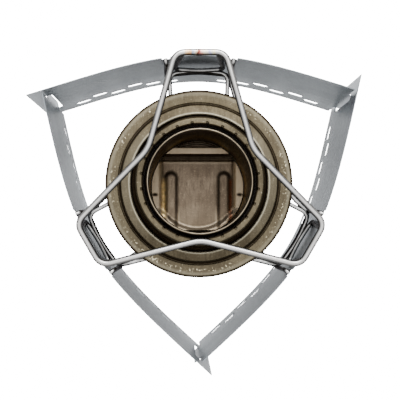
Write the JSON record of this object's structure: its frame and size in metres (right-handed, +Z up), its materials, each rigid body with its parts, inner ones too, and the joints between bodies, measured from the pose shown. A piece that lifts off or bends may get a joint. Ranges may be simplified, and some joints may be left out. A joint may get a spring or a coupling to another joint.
{
  "type": "spirit burner stove",
  "caption": "Brass spirit burner held in a bent-wire cradle, under a three-lobed wire pot ring, inside a bowed sheet-metal windshield.",
  "frame": {"origin": "centre of the burner's flat underside, on the burner's axis", "axes": "+Z up along the burner's axis; +Y through the middle of the first windshield panel and the first lobe of the pot ring; +X to the right"},
  "size_m": [0.1297, 0.1231, 0.0602],
  "materials": {
    "windshield_steel": "thin satin stainless sheet",
    "pot_ring_steel": "bright drawn stainless wire with heat tint at its weld",
    "cradle_steel": "drawn stainless wire",
    "aged_brass": "aged brass, brushed and tarnished",
    "sooty_brass": "dark tarnished brass with soot",
    "wick_cotton": "cotton wadding"
  },
  "bodies": {
    "windshield": {"windshield_panel_1": "windshield_steel", "windshield_panel_3": "windshield_steel"},
    "gate_panel": {"windshield_panel_2": "windshield_steel"},
    "cradle": {"cradle_ring": "cradle_steel", "rest_loop_1": "cradle_steel", "rest_loop_2": "cradle_steel", "rest_loop_3": "cradle_steel", "hanger_wire_1": "cradle_steel", "hanger_wire_2": "cradle_steel", "hanger_wire_3": "cradle_steel", "hanger_wire_4": "cradle_steel", "hanger_wire_5": "cradle_steel", "hanger_wire_6": "cradle_steel"},
    "pot_support": {"pot_ring": "pot_ring_steel", "riser_bracket_1": "cradle_steel", "riser_bracket_2": "cradle_steel", "riser_bracket_3": "cradle_steel"},
    "burner": {"burner_bowl": "aged_brass", "burner_collar": "aged_brass", "inner_wall": "sooty_brass", "cup_floor": "sooty_brass", "floor_plate": "aged_brass", "wick": "wick_cotton"}
  },
  "joints": [
    {"name": "gate_swing", "type": "hinge", "parent": "windshield", "child": "gate_panel", "pos_m": [-0.06062, 0.035, 0], "axis": [0, 0, -1], "range_deg": [0, 45]},
    {"name": "cradle_lift", "type": "slide", "parent": "windshield", "child": "cradle", "axis": [0, 0, 1], "range_m": [0, 0.06]},
    {"name": "pot_support_lift", "type": "slide", "parent": "cradle", "child": "pot_support", "axis": [0, 0, 1], "range_m": [0, 0.05]},
    {"name": "burner_lift", "type": "slide", "parent": "cradle", "child": "burner", "axis": [0, 0, 1], "range_m": [0, 0.0072]}
  ]
}
